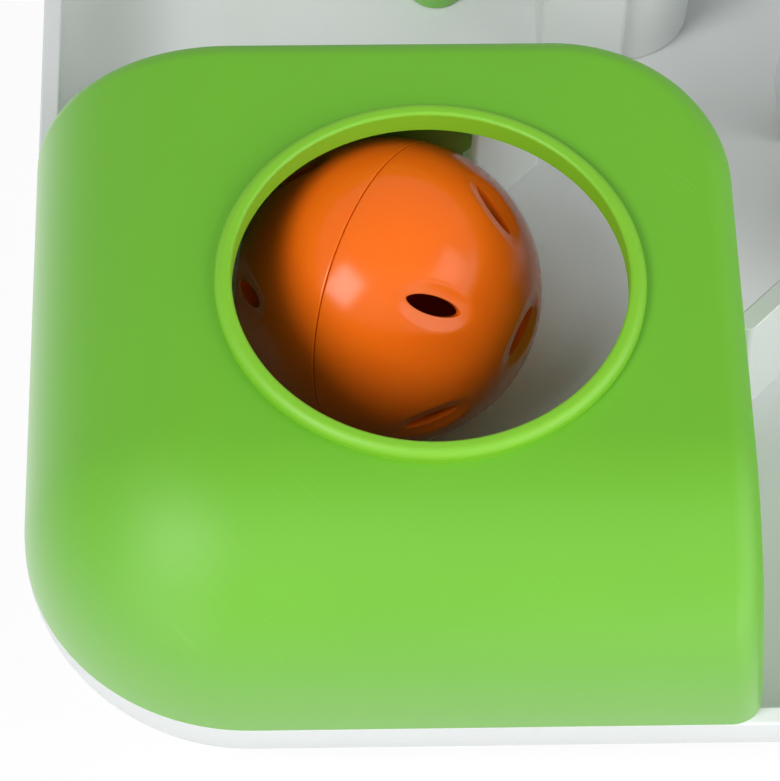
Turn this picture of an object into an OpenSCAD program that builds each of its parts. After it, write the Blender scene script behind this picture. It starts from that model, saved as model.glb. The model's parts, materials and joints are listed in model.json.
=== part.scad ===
// Cat puzzle feeder: a square white tray whose front left corner is roofed by a lift-off green hood.
// A slotted treat ball lies under the hood. Plug-in tubes, pegs and walls fill the rest of the tray.
// The origin is on the table under the middle of the tray, +X right, +Y away, +Z up.

/* [Tray] */
// Outside width of the tray, left to right
tray_w = 300; // [290:1:340]
// Outside depth of the tray, front to rear
tray_d = 300; // [290:1:340]
// Height of the tray's rim above the table
rim_z = 30; // [28:0.5:36]
// Radius of the tray's corners in plan
tray_corner = 45.5; // [44:0.5:60]
// Radius of the rounded edge under the tray
tray_edge = 28; // [24:0.5:28]
// Thickness of the tray's side wall
tray_wall = 4; // [3:0.1:5]
// Thickness of the tray's floor
floor_t = 2.5; // [2.2:0.1:4]

/* [Feet] */
// Radius of a rubber foot
foot_r = 9; // [6:0.5:12]
// Height of a foot below the tray
foot_h = 1.5; // [1:0.1:3]
// Distance of each foot from the tray's two sides
foot_inset = 44; // [40:1:60]
// Radius of the stud that holds a foot
foot_stud_r = 3; // [2:0.1:4]
// Length of the stud that holds a foot
foot_stud_h = 1.6; // [1:0.1:1.8]
// Clearance round and above a foot's stud
foot_fit = 0.05; // [0.02:0.01:0.1]

/* [Hood] */
// Width of the hood, left to right
hood_w = 143.3; // [136:0.1:150]
// Depth of the hood, front to rear
hood_d = 140.3; // [134:0.1:148]
// Thickness of the hood's wall
hood_wall = 2.5; // [2:0.1:3]
// Radius of the hood's rear right corner in plan
hood_corner = 35; // [28:0.5:40]
// Radius of the rounded edge along the top of the hood's flat sides
hood_edge = 6; // [4:0.5:9]
// Free height between the ball and the roof
head_room = 0.5; // [0.4:0.1:4]
// Thickness of the flange that lies on the tray's rim
flange_t = 2.5; // [2:0.1:4]
// Depth of the lip that drops inside the rim
lip_h = 4; // [2:0.5:6]
// Thickness of the lip that drops inside the rim
lip_t = 1.6; // [1.2:0.1:3]
// Clearance between the hood and the inside of the tray
tray_fit = 0.4; // [0.3:0.05:0.8]

/* [Collar] */
// Radius of the round opening in the roof
collar_r = 39.2; // [36:0.2:40]
// Thickness of the collar round the opening
collar_wall = 3.4; // [2.4:0.1:4]
// Radius of the collar's two upper edges
collar_round = 0.8; // [0.4:0.1:1.2]
// Height of the collar above the roof
collar_rise = 2.8; // [1.6:0.1:5]
// Distance of the opening's centre from the tray's left side
collar_in_x = 81.5; // [79:0.5:84]
// Distance of the opening's centre from the tray's front side
collar_in_y = 77.7; // [75:0.1:80]

/* [Corner doorway] */
// Distance from the hood's open corner to the rear door post
rear_post = 50.3; // [46:0.1:54]
// Distance from the hood's open corner to the right door post
right_post = 40.3; // [37:0.1:44]
// Thickness of the skirt behind each door post
skirt_t = 2.6; // [2:0.1:3]
// How far the apron overhangs the skirt's end at a door post
post_step = 2; // [1:0.1:3]
// Height of the apron's lower edge above the rim, beside the doorway
apron_rise = 3.2; // [3:0.1:10]
// Height of the doorway's top above the rim
door_rise = 20; // [16:0.5:24]
// Radius of the apron's lower corner at a door post
apron_corner = 3; // [1:0.1:4]

/* [Treat ball] */
// Diameter of the ball
ball_d = 64; // [60:0.5:68]
// Thickness of the ball's wall
ball_wall = 2.4; // [2.2:0.1:3]
// Distance of the ball's centre from the tray's left side
ball_in_x = 74.3; // [72:0.1:78]
// Clearance between the ball and the skirt behind it
ball_gap = 3.4; // [0.4:0.1:5]
// Clearance between the ball and the floor
ball_rest = 0.3; // [0.3:0.05:0.6]
// Direction of the ball's seam axis, turned about the vertical
ball_turn = -28.3; // [-60:0.1:60]
// Rise of the ball's seam axis above the horizontal
ball_tilt = 10.5; // [-30:0.1:30]
// Gap between the two halves at the seam
seam_gap = 0.15; // [0.1:0.01:0.4]
// Thickness of the spigot ring inside the seam
spigot_t = 2.2; // [1.6:0.1:3]
// Length of the spigot ring on each side of the seam
spigot_h = 5; // [4.6:0.1:6]
// Depth of the land that the spigot turns in, measured from the inside of the wall
land_t = 0.5; // [0.4:0.05:0.8]
// Radial clearance of the spigot in its land
spigot_fit = 0.08; // [0.03:0.01:0.1]
// How far the bayonet lugs stand out of the spigot
lug_out = 0.9; // [0.6:0.05:1]
// Length of a bayonet lug along the seam axis
lug_h = 1.6; // [1:0.1:2]
// Width of a bayonet lug round the seam axis
lug_deg = 10; // [6:0.5:14]
// Turn between the locked and the open place of the bayonet
lock_deg = 30; // [26:1:40]
// Clearance of a lug in its groove
lug_fit = 0.25; // [0.2:0.05:0.4]

/* [Ball slots] */
// Length of a treat slot
slot_l = 12; // [9:0.1:14]
// Width of a treat slot at its middle
slot_w = 4.5; // [3.5:0.1:6]
// Depth of the dish pressed round a slot
dish_depth = 1.2; // [0.6:0.05:1.4]
// Radius of the dish across a slot
dish_r = 15.4; // [10:0.1:20]
// Angle of the slot ring from the pole of each half
ring_deg = 49; // [44:0.5:52]
// Number of slots in a ring
ring_slots = 5; // [3:1:6]
// Turn of the slot ring on the socket half
socket_turn = -1; // [-36:1:36]
// Turn of the slot ring on the spigot half
spigot_turn = 21; // [-36:1:36]
// Turn of the slot at each pole
pole_turn = 102; // [0:1:180]

/* [Tubes] */
// Outside radius of a tube
tube_r = 16.4; // [14:0.2:18]
// Thickness of a tube's wall
tube_wall = 2; // [1.6:0.1:2.6]
// Height of a tube above the floor
tube_h = 48; // [30:1:60]
// How far the sides of a tube's square corner stand out past its round side
corner_out = 2.6; // [1:0.1:4]
// Height of the ring that locates a tube
ring_h = 4; // [3:0.5:8]
// Thickness of the ring that locates a tube
ring_t = 1.6; // [1.2:0.1:2.4]
// Clearance between a tube and its ring
tube_fit = 0.3; // [0.2:0.05:0.5]
// Distance of the side tubes past the hood's side
tube_out = 62.2; // [56:0.2:68]
// Distance of the side tubes back from the hood's open corner
tube_back = 13.4; // [8:0.2:18]
// Distance of the middle tube from the hood's open corner, along each side
tube_mid = 40.5; // [36:0.5:42]

/* [Pegs] */
// Radius of a peg at its foot
peg_r = 6.5; // [5.5:0.1:8]
// Radius of a peg's round top
peg_top_r = 4.5; // [4:0.1:5]
// Height of a peg above the floor
peg_h = 40; // [26:1:56]
// Radius of the pin that a peg plugs on
pin_r = 3; // [2:0.1:3.6]
// Height of the pin that a peg plugs on
pin_h = 6; // [4:0.5:12]
// Radial clearance of a peg on its pin
pin_fit = 0.08; // [0.03:0.01:0.1]
// Clearance over the top of a pin or a rail
top_gap = 0.5; // [0.3:0.1:1]
// Distance of the first peg back from the hood's open corner
peg_1_back = 55.1; // [48:0.1:60]
// Distance of the first peg past the hood's side
peg_1_out = 67.7; // [64:0.1:72]
// Distance of the second peg back from the hood's open corner
peg_2_back = 97.5; // [92:0.5:102]
// Distance of the second peg past the hood's side
peg_2_out = 84; // [78:0.5:90]
// Distance of the third peg back from the hood's open corner
peg_3_back = 73.5; // [66:0.5:80]
// Distance of the third peg from the tray's far side
peg_3_in = 45; // [34:0.5:52]

/* [Walls] */
// Thickness of a plug-in wall
wall_t = 4.4; // [4:0.1:5.4]
// Height of a plug-in wall above the floor
wall_h = 32; // [20:1:40]
// Length of the short walls at the doorway
door_wall_l = 24; // [16:0.5:25]
// Length of the long walls of the lane
lane_wall_l = 60; // [40:1:66]
// Distance of the short rear wall past the hood's side
rear_wall_out = 10; // [9.6:0.1:14]
// Distance of the short rear wall back from the hood's open corner
rear_wall_back = 42.8; // [38:0.1:46]
// Distance of the short side wall past the hood's side
side_wall_out = 12.4; // [10.4:0.1:15]
// Distance of the short side wall back from the hood's open corner
side_wall_back = 42; // [40:0.1:48]
// Distance of each long wall from the tray's nearer side
lane_near = 56; // [50:0.5:60]
// Distance of each long wall from the tray's other side
lane_far = 84; // [76:0.5:88]
// Thickness of the rail that a wall straddles
rail_t = 2; // [1.4:0.1:2.4]
// Height of the rail that a wall straddles
rail_h = 4; // [2:0.5:6]
// Distance between a rail's end and the wall's end
rail_inset = 4; // [3.4:0.1:6]
// Clearance of a wall on each side of its rail
rail_fit = 0.15; // [0.05:0.05:0.3]

/* [Hidden] */
$fn = 96;

white = [0.93, 0.94, 0.95];
green = [0.42, 0.71, 0.22];
orange = [0.95, 0.46, 0.15];
black = [0.12, 0.12, 0.12];

// A cut runs this far past the face that it opens
past = 1;

left = -tray_w / 2;
right = tray_w / 2;
front = -tray_d / 2;
rear = tray_d / 2;
floor_z = foot_h + floor_t;
inner_edge = tray_edge - tray_wall;

hood_right = left + hood_w;
hood_rear = front + hood_d;
roof_z = floor_z + ball_rest + ball_d + head_room + hood_wall;
bend = roof_z - rim_z;
flange_w = tray_wall + tray_fit + lip_t;
door_corner = [hood_right, hood_rear];
collar_at = [left + collar_in_x, front + collar_in_y];

ball_r = ball_d / 2;
ball_y = hood_rear - hood_wall - skirt_t - ball_gap - ball_r;
ball_at = [left + ball_in_x, ball_y, floor_z + ball_rest + ball_r];
shell_r = ball_r - ball_wall;
land_r = shell_r - land_t;
spigot_r = land_r - spigot_fit;
groove_r = spigot_r + lug_out + lug_fit;
lug_z = (spigot_h - lug_h) / 2 + lug_fit;
bayonet_lugs = 3;

tube_bore_r = tube_r - tube_wall;

tube_rear_at = door_corner + [-tube_back, tube_out];
tube_side_at = door_corner + [tube_out, -tube_back];
tube_middle_at = door_corner + [tube_mid, tube_mid];
peg_rear_at = [
    door_corner + [-peg_1_back, peg_1_out],
    door_corner + [-peg_2_back, peg_2_out],
    [hood_right - peg_3_back, rear - peg_3_in]
];
peg_side_at = [
    door_corner + [peg_1_out, -peg_1_back],
    door_corner + [peg_2_out, -peg_2_back],
    [right - peg_3_in, hood_rear - peg_3_back]
];
door_wall_rear_at = door_corner + [-rear_wall_back, rear_wall_out];
door_wall_side_at = door_corner + [side_wall_out, -side_wall_back];
lane_wall_rear_at = [right - lane_far, rear - lane_near];
lane_wall_side_at = [right - lane_near, rear - lane_far];
wall_turn = 45;

foot_xs = [left + foot_inset, right - foot_inset];
foot_ys = [front + foot_inset, rear - foot_inset];
foot_places = [for (y = foot_ys, x = foot_xs) [x, y]];

// Quarter disc that rounds a lower edge, its centre at the origin, towards +X or -X
module edge_round(edge, side) {
    intersection() {
        circle(edge);
        translate([side < 0 ? -edge : 0, -edge])
            square(edge);
    }
}

// Half section of a round tub of radius r: flat bottom, rounded lower edge, straight side
module tub_section(r, edge, h) {
    square([r - edge, h]);
    translate([0, edge])
        square([r, h - edge]);
    translate([r - edge, edge])
        edge_round(edge, 1);
}

// Full section of a straight tub of width w
module trough_section(w, edge, h) {
    translate([edge, 0])
        square([w - 2 * edge, h]);
    translate([0, edge])
        square([w, h - edge]);
    translate([edge, edge])
        edge_round(edge, -1);
    translate([w - edge, edge])
        edge_round(edge, 1);
}

// Solid rectangular tub standing on z = 0, with round corners and a rounded lower edge
module tub(x0, x1, y0, y1, h, corner, edge) {
    lower = min(edge, corner - 0.5);
    for (c = [[x0 + corner, y0 + corner, 180], [x1 - corner, y0 + corner, 270],
              [x1 - corner, y1 - corner, 0], [x0 + corner, y1 - corner, 90]])
        translate([c[0], c[1], 0])
            rotate(c[2])
                rotate_extrude(angle = 90)
                    tub_section(corner, lower, h);
    translate([x0 + corner, y0, 0])
        rotate([90, 0, 90])
            linear_extrude(x1 - x0 - 2 * corner)
                trough_section(y1 - y0, lower, h);
    for (side = [[x1 - corner, 0], [x0 + corner, 1]])
        translate([side[0], (y0 + y1) / 2, 0])
            mirror([side[1], 0, 0])
                rotate([90, 0, 0])
                    linear_extrude(y1 - y0 - 2 * corner, center = true)
                        tub_section(corner, lower, h);
}

// The room inside the tray, drawn in by a clearance on every side
module tray_room(gap) {
    translate([0, 0, floor_z + gap])
        tub(left + tray_wall + gap, right - tray_wall - gap, front + tray_wall + gap, rear - tray_wall - gap,
            rim_z - floor_z - gap, tray_corner - tray_wall - gap, inner_edge - gap);
}

// Half section of the hood's bend: flat roof, quarter round of radius b, straight side down to low
module bend_section(r, b, low) {
    top = rim_z + b;
    translate([0, low])
        square([r - b, top - low]);
    translate([0, low])
        square([r, rim_z - low]);
    intersection() {
        translate([r - b, rim_z])
            circle(b);
        translate([0, low])
            square([r, top - low]);
    }
}

// Section of a straight run with a rounded upper edge on its outer side
module edge_section(w, low, top, edge) {
    translate([0, low])
        square([w - edge, top - low]);
    translate([0, low])
        square([w, top - edge - low]);
    translate([w - edge, top - edge])
        mirror([0, 1])
            edge_round(edge, 1);
}

// A straight run of the bend: quarter round about the X axis, with a straight skirt below it.
// It starts at the flat side, x = 0, where its edge is rounded, and runs towards -X.
module bend_run(b, edge, run, skirt) {
    rotate([0, -90, 0])
        rotate(-90) {
            rotate_extrude(angle = 90)
                tub_section(b, edge, run);
            rotate([90, 0, 0])
                linear_extrude(skirt)
                    tub_section(b, edge, run);
        }
}

// Solid under the hood's outside, or under its inside when drawn in by a wall. The roof bends down
// to the rim at the front and the left. The right and rear sides are flat, with a round corner.
module hood_block(inset, low) {
    r = tray_corner - inset;
    b = min(bend - inset, r - 0.5);
    edge = hood_edge - inset;
    corner = hood_corner - inset;
    top = rim_z + b;
    x0 = left + tray_corner;
    y0 = front + tray_corner;
    x1 = hood_right - inset;
    y1 = hood_rear - inset;
    xc = x1 - corner;
    yc = y1 - corner;
    xb = x0 - r + b;
    yb = y0 - r + b;
    translate([x0, y0, 0])
        rotate(180)
            rotate_extrude(angle = 90)
                bend_section(r, b, low);
    translate([x1, yb, rim_z])
        bend_run(b, edge, x1 - x0, rim_z - low);
    translate([xb, y1, rim_z])
        mirror([1, -1, 0])
            bend_run(b, edge, y1 - y0, rim_z - low);
    translate([xc, yc, 0]) {
        rotate_extrude(angle = 90)
            edge_section(corner, low, top, edge);
        rotate([90, 0, 0])
            linear_extrude(yc - yb)
                edge_section(corner, low, top, edge);
        mirror([1, -1, 0])
            rotate([90, 0, 0])
                linear_extrude(xc - xb)
                    edge_section(corner, low, top, edge);
    }
    translate([x0, yb, low])
        cube([xc - x0, yc - yb, top - low]);
    translate([xb, y0, low])
        cube([x0 - xb, yc - y0, top - low]);
}

// Outline of the two openings in a flat side, seen square to it; the door post stands at x = 0
module apron_opening(post, width) {
    low = rim_z - lip_h - past;
    translate([-width, low])
        square([width, rim_z + apron_rise - low]);
    translate([0, low])
        square([post + past, rim_z + door_rise - low]);
    translate([-apron_corner, rim_z + apron_rise])
        difference() {
            square(apron_corner);
            translate([0, apron_corner])
                circle(apron_corner);
        }
}

module apron_cuts() {
    width_rear = hood_w - rear_post - flange_w;
    translate([hood_right - rear_post, hood_rear + past, 0])
        rotate([90, 0, 0])
            linear_extrude(hood_wall + past)
                apron_opening(rear_post, width_rear);
    width_right = hood_d - right_post - flange_w;
    translate([hood_right - hood_wall, hood_rear - right_post, 0])
        rotate([90, 0, 90])
            linear_extrude(hood_wall + past)
                apron_opening(right_post, width_right);
    door_h = rim_z + door_rise - floor_z;
    translate([hood_right - hood_corner, hood_rear - hood_corner, floor_z])
        cube([hood_corner + past, hood_corner + past, door_h]);
}

// The two skirt strips along the flat sides, between two heights; they end at the door posts
module skirt_strips(z0, z1) {
    translate([left, hood_rear - hood_wall - skirt_t, z0])
        cube([hood_w - rear_post - post_step, skirt_t, z1 - z0]);
    translate([hood_right - hood_wall - skirt_t, front, z0])
        cube([skirt_t, hood_d - right_post - post_step, z1 - z0]);
}

// Skirts hang from the roof and drop inside the tray
module skirts() {
    intersection() {
        hood_block(hood_wall / 2, rim_z - past);
        skirt_strips(rim_z, roof_z);
    }
    intersection() {
        tray_room(tray_fit);
        skirt_strips(floor_z, rim_z);
    }
}

// The flange that lies on the rim and the lip that drops inside it, along the front and the left
module rim_seat() {
    difference() {
        intersection() {
            hood_block(0, rim_z - past);
            translate([left, front, rim_z])
                cube([hood_w, hood_d, flange_t]);
        }
        translate([0, 0, rim_z - past])
            linear_extrude(flange_t + 2 * past)
                room_outline(flange_w);
    }
    translate([0, 0, rim_z - lip_h])
        linear_extrude(lip_h)
            intersection() {
                difference() {
                    room_outline(tray_wall + tray_fit);
                    room_outline(flange_w);
                }
                translate([left, front])
                    square([hood_w - hood_wall, hood_d - hood_wall]);
            }
}

// Plan of the tray drawn in by a distance
module room_outline(inset) {
    r = tray_corner - inset;
    translate([left + inset, front + tray_corner])
        square([tray_w - 2 * inset, tray_d - 2 * tray_corner]);
    translate([left + tray_corner, front + inset])
        square([tray_w - 2 * tray_corner, tray_d - 2 * inset]);
    for (x = [left + tray_corner, right - tray_corner], y = [front + tray_corner, rear - tray_corner])
        translate([x, y])
            circle(r);
}

module collar() {
    top = hood_wall + collar_rise;
    translate([collar_at.x, collar_at.y, roof_z - hood_wall])
        rotate_extrude()
            translate([collar_r, 0]) {
                square([collar_wall, top - collar_round]);
                translate([collar_round, 0])
                    square([collar_wall - 2 * collar_round, top]);
                for (x = [collar_round, collar_wall - collar_round])
                    translate([x, top - collar_round])
                        circle(collar_round);
            }
}

module tray() {
    color(white)
        difference() {
            union() {
                difference() {
                    translate([0, 0, foot_h])
                        tub(left, right, front, rear, rim_z - foot_h, tray_corner, tray_edge);
                    translate([0, 0, floor_z])
                        tub(left + tray_wall, right - tray_wall, front + tray_wall, rear - tray_wall,
                            rim_z - floor_z + past, tray_corner - tray_wall, inner_edge);
                }
                for (p = [tube_rear_at, tube_middle_at, tube_side_at])
                    tube_ring(p);
                for (p = concat(peg_rear_at, peg_side_at))
                    translate([p.x, p.y, floor_z - floor_t / 2])
                        cylinder(r = pin_r, h = pin_h + floor_t / 2);
                for (p = [door_wall_rear_at, door_wall_side_at])
                    rail(p, door_wall_l);
                for (p = [lane_wall_rear_at, lane_wall_side_at])
                    rail(p, lane_wall_l);
            }
            for (p = foot_places)
                translate([p.x, p.y, foot_h - past])
                    cylinder(r = foot_stud_r + foot_fit, h = foot_stud_h + foot_fit + past);
        }
}

module tube_ring(p) {
    outer = tube_bore_r - tube_fit;
    translate([p.x, p.y, floor_z - floor_t / 2])
        difference() {
            cylinder(r = outer, h = ring_h + floor_t / 2);
            translate([0, 0, floor_t / 2])
                cylinder(r = outer - ring_t, h = ring_h + past);
        }
}

module rail(p, wall_l) {
    rail_l = wall_l - 2 * rail_inset;
    translate([p.x, p.y, floor_z - floor_t / 2])
        rotate(wall_turn)
            translate([-rail_l / 2, -rail_t / 2, 0])
                cube([rail_l, rail_t, rail_h + floor_t / 2]);
}

module foot(p) {
    color(black)
        translate([p.x, p.y, 0]) {
            cylinder(r = foot_r, h = foot_h);
            cylinder(r = foot_stud_r, h = foot_h + foot_stud_h);
        }
}

module hood() {
    color(green)
        difference() {
            union() {
                difference() {
                    hood_block(0, rim_z - past);
                    hood_block(hood_wall, rim_z - 2 * past);
                    apron_cuts();
                    translate([left - past, front - past, rim_z - 2 * past])
                        cube([hood_w + 2 * past, hood_d + 2 * past, 2 * past]);
                }
                skirts();
                rim_seat();
                collar();
            }
            translate([collar_at.x, collar_at.y, roof_z - hood_wall - past])
                cylinder(r = collar_r, h = hood_wall + collar_rise + 2 * past);
        }
}

// Put a shape from the ball's own frame, seam axis along Z, into its place under the hood
module place_ball() {
    translate(ball_at)
        rotate([0, 90 - ball_tilt, ball_turn])
            children();
}

// Quarter section of the ball's wall, from the seam up to the pole
module wall_section() {
    intersection() {
        difference() {
            circle(ball_r);
            circle(shell_r);
        }
        square(ball_r);
    }
}

// One treat slot: a lens-shaped hole in a shallow dish, at the given angle from the pole
module slot_cut(angle, turn) {
    lens_r = (slot_l * slot_l / 4 + slot_w * slot_w / 4) / slot_w;
    rotate([0, angle, turn]) {
        translate([0, 0, ball_r - dish_depth + dish_r])
            rotate([0, 90, 0])
                cylinder(r = dish_r, h = ball_r, center = true);
        translate([0, 0, shell_r - ball_wall])
            intersection() {
                translate([0, lens_r - slot_w / 2, 0])
                    cylinder(r = lens_r, h = 3 * ball_wall);
                translate([0, slot_w / 2 - lens_r, 0])
                    cylinder(r = lens_r, h = 3 * ball_wall);
            }
    }
}

// The direction midway between two slots of a ring, where a half's own round starts
function between_slots(ring_turn) = ring_turn + 180 / ring_slots;

module half_slots(ring_turn) {
    rotate(pole_turn)
        slot_cut(0, 0);
    for (i = [0 : ring_slots - 1])
        rotate(ring_turn + i * 360 / ring_slots)
            slot_cut(ring_deg, 0);
}

module ball_spigot_half() {
    color(orange)
        place_ball()
            difference() {
                union() {
                    rotate(between_slots(spigot_turn))
                        rotate_extrude() {
                            mirror([0, 1])
                                wall_section();
                            translate([spigot_r - spigot_t, -spigot_h])
                                square([spigot_t, 2 * spigot_h]);
                            translate([spigot_r - spigot_t, -spigot_h / 2])
                                square([shell_r - spigot_r + spigot_t + ball_wall / 2, spigot_h / 2]);
                        }
                    for (i = [0 : bayonet_lugs - 1])
                        rotate(i * 360 / bayonet_lugs - lug_deg / 2)
                            rotate_extrude(angle = lug_deg)
                                translate([spigot_r - spigot_t / 2, lug_z])
                                    square([spigot_t / 2 + lug_out, lug_h]);
                }
                mirror([0, 0, 1])
                    half_slots(spigot_turn);
            }
}

module ball_socket_half() {
    groove_z = lug_z - lug_fit;
    entry_deg = lug_deg + 4;
    land_h = spigot_h + lug_fit + 1;
    color(orange)
        place_ball()
            difference() {
                rotate(between_slots(socket_turn))
                    rotate_extrude()
                        difference() {
                            union() {
                                wall_section();
                                translate([land_r, 0])
                                    square([shell_r + ball_wall / 2 - land_r, land_h]);
                            }
                            square([ball_r + past, seam_gap]);
                            translate([land_r - past, groove_z])
                                square([groove_r - land_r + past, lug_h + 2 * lug_fit]);
                        }
                for (i = [0 : bayonet_lugs - 1])
                    rotate(i * 360 / bayonet_lugs + lock_deg - entry_deg / 2)
                        rotate_extrude(angle = entry_deg)
                            translate([land_r - past, 0])
                                square([groove_r - land_r + past + lug_fit, groove_z + lug_h]);
                half_slots(socket_turn);
            }
}

// Tube with a round lip and one square corner, towards the front left
module tube(p) {
    lip_r = tube_wall / 2;
    side = tube_r + corner_out;
    color(white)
        translate([p.x, p.y, floor_z]) {
            rotate_extrude()
                translate([tube_bore_r, 0]) {
                    square([tube_wall, tube_h - lip_r]);
                    translate([lip_r, tube_h - lip_r])
                        circle(lip_r);
                }
            difference() {
                translate([-side, -side, 0])
                    cube([side, side, tube_h - tube_wall]);
                translate([0, 0, -past])
                    cylinder(r = tube_r - tube_wall / 2, h = tube_h + 2 * past);
            }
        }
}

// Tapered peg with a round top and a blind bore for its pin
module peg(p) {
    color(green)
        translate([p.x, p.y, floor_z])
            difference() {
                union() {
                    cylinder(r1 = peg_r, r2 = peg_top_r, h = peg_h - peg_top_r);
                    translate([0, 0, peg_h - peg_top_r])
                        sphere(peg_top_r);
                }
                translate([0, 0, -past])
                    cylinder(r = pin_r + pin_fit, h = pin_h + top_gap + past);
            }
}

// Upright wall with round ends and a groove for its rail
module plug_wall(p, wall_l) {
    straight = wall_l - wall_t;
    groove_l = wall_l - 2 * rail_inset + 2 * rail_fit;
    groove_t = rail_t + 2 * rail_fit;
    color(white)
        translate([p.x, p.y, floor_z])
            rotate(wall_turn)
                difference() {
                    union() {
                        translate([-straight / 2, -wall_t / 2, 0])
                            cube([straight, wall_t, wall_h]);
                        for (x = [-straight / 2, straight / 2])
                            translate([x, 0, 0])
                                cylinder(d = wall_t, h = wall_h);
                    }
                    translate([-groove_l / 2, -groove_t / 2, -past])
                        cube([groove_l, groove_t, rail_h + top_gap + past]);
                }
}

tray();
foot(foot_places[0]);  // foot_front_left
foot(foot_places[1]);  // foot_front_right
foot(foot_places[2]);  // foot_rear_left
foot(foot_places[3]);  // foot_rear_right
hood();
ball_spigot_half();
ball_socket_half();
tube(tube_rear_at);  // tube_rear
tube(tube_middle_at);  // tube_middle
tube(tube_side_at);  // tube_side
peg(peg_rear_at[0]);  // peg_rear_1
peg(peg_rear_at[1]);  // peg_rear_2
peg(peg_rear_at[2]);  // peg_rear_3
peg(peg_side_at[0]);  // peg_side_1
peg(peg_side_at[1]);  // peg_side_2
peg(peg_side_at[2]);  // peg_side_3
plug_wall(door_wall_rear_at, door_wall_l);  // door_wall_rear
plug_wall(door_wall_side_at, door_wall_l);  // door_wall_side
plug_wall(lane_wall_rear_at, lane_wall_l);  // lane_wall_rear
plug_wall(lane_wall_side_at, lane_wall_l);  // lane_wall_side
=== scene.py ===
import json
import math
from contextlib import contextmanager

import bmesh
import bpy
from bpy.props import FloatProperty, FloatVectorProperty, IntProperty, PointerProperty
from bpy.types import Operator, Panel, PropertyGroup
from mathutils import Matrix, Quaternion, Vector


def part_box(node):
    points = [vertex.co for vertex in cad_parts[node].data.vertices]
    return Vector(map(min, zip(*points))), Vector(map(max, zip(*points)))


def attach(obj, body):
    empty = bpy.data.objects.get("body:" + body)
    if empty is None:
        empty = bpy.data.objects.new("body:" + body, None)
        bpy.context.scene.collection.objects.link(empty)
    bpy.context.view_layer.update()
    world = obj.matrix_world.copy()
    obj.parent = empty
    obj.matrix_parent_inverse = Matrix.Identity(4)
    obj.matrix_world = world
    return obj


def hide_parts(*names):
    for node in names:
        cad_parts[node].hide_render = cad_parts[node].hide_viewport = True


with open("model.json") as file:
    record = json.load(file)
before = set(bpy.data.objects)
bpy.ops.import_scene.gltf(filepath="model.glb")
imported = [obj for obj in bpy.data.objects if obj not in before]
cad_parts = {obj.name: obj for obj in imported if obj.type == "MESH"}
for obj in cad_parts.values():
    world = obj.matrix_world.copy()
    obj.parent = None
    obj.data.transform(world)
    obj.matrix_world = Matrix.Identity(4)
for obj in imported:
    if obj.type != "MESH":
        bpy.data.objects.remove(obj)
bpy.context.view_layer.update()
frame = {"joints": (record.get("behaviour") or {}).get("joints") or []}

bl_info = {
    "name": "Cat Puzzle Feeder",
    "version": (1, 0, 0),
    "blender": (4, 5, 0),
    "location": "View3D > Sidebar > Feeder",
    "description": "Models a tray feeder with a green hood, a treat ball and plug-in obstacles",
    "category": "Object",
}

# Places that come from the frame
TRAY_LOW, TRAY_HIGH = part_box("tray")
HOOD_LOW, HOOD_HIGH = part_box("hood")
RIM = TRAY_HIGH.z
JOINTS = {joint["name"]: joint for joint in frame["joints"]}
BALL_AT = Vector(JOINTS["ball_roll"]["pos_m"])
TUBES = ("tube_rear", "tube_middle", "tube_side")
PEGS = ("peg_rear_1", "peg_rear_2", "peg_rear_3", "peg_side_1", "peg_side_2", "peg_side_3")
WALLS = ("door_wall_rear", "door_wall_side", "lane_wall_rear", "lane_wall_side")
FEET = ("foot_front_left", "foot_front_right", "foot_rear_left", "foot_rear_right")

MM = 0.001
# Two points nearer than this are one
TOUCH = 2e-6
# Points of a shape that differ by less than this lie on one level or one line
LEVEL = 2e-5
# Radius of the ring that closes a turned shape on its axis
TIP = 5e-7
# Faces that meet at more than this show an edge
CREASE = math.radians(32)
# Cut edges of the hood that turn by more than this are softened
CUT_EDGE = math.radians(50)
# Cosine of the angle from a slot's middle within which its dish ends
DISH_REACH = math.cos(math.radians(22))
# Share of a rubber foot's radius that its dish takes
FOOT_DISH = 0.62
# Turn of the plug-in walls
WALL_TURN = math.radians(45)
# Heights between which the polish on the green sides fades
POLISH_FADE = (38 * MM, 64 * MM)
# Lean of the hairlines out of the level, and the stretch of the noise in which they rise
HAIR_LEAN = (0.3, 0.2)
HAIR_RISE = (0.70, 0.76)

SCUFF = (0.45, 0.75, 0.25, 1)
DUST = (0.11, 0.105, 0.10, 1)
PAPER = (0.86, 0.86, 0.86, 1)
WHITE = (1, 1, 1, 1)
ROOM_TINT = (0.97, 0.985, 1, 1)
# Share of plain white in what is seen of the floor; the rest is lit paper, which keeps the shadow
FLOOR_GLOW = 0.9
FLOOR_SIZE = 8
FILM_WIDTH = 36

# Each softbox: its direction from the ball, its distance, its width and height
SOFTBOXES = {
    "left": ((-0.562, -0.421, 0.715), 1.6, (0.64, 0.64)),
    "right": ((0.668, -0.268, 0.693), 1.0, (0.60, 0.34)),
    "front_left": ((-0.60, -0.75, 0.28), 1.3, (1.0, 0.6)),
    "front_right": ((0.55, -0.78, 0.30), 1.3, (1.0, 0.6)),
    "front": ((0.05, -0.60, 0.80), 1.3, (1.2, 0.8)),
    "low_right": ((0.93, -0.20, 0.30), 1.3, (1.0, 0.6)),
}


def length(name, description, millimetres):
    """A length that a user can change, given in millimetres and kept in metres."""
    return FloatProperty(
        name=name, description=description, default=millimetres * MM, min=0, precision=5, unit="LENGTH"
    )


def turn(name, description, degrees):
    """An angle that a user can change."""
    return FloatProperty(name=name, description=description, default=math.radians(degrees), subtype="ANGLE")


def paint(name, description, colour):
    """A colour that a user can change, in linear light."""
    return FloatVectorProperty(
        name=name, description=description, default=colour, size=4, min=0, max=1, subtype="COLOR"
    )


def power(name, description, watts):
    """A lamp's power that a user can change."""
    return FloatProperty(name=name, description=description, default=watts, min=0, subtype="POWER")


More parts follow.
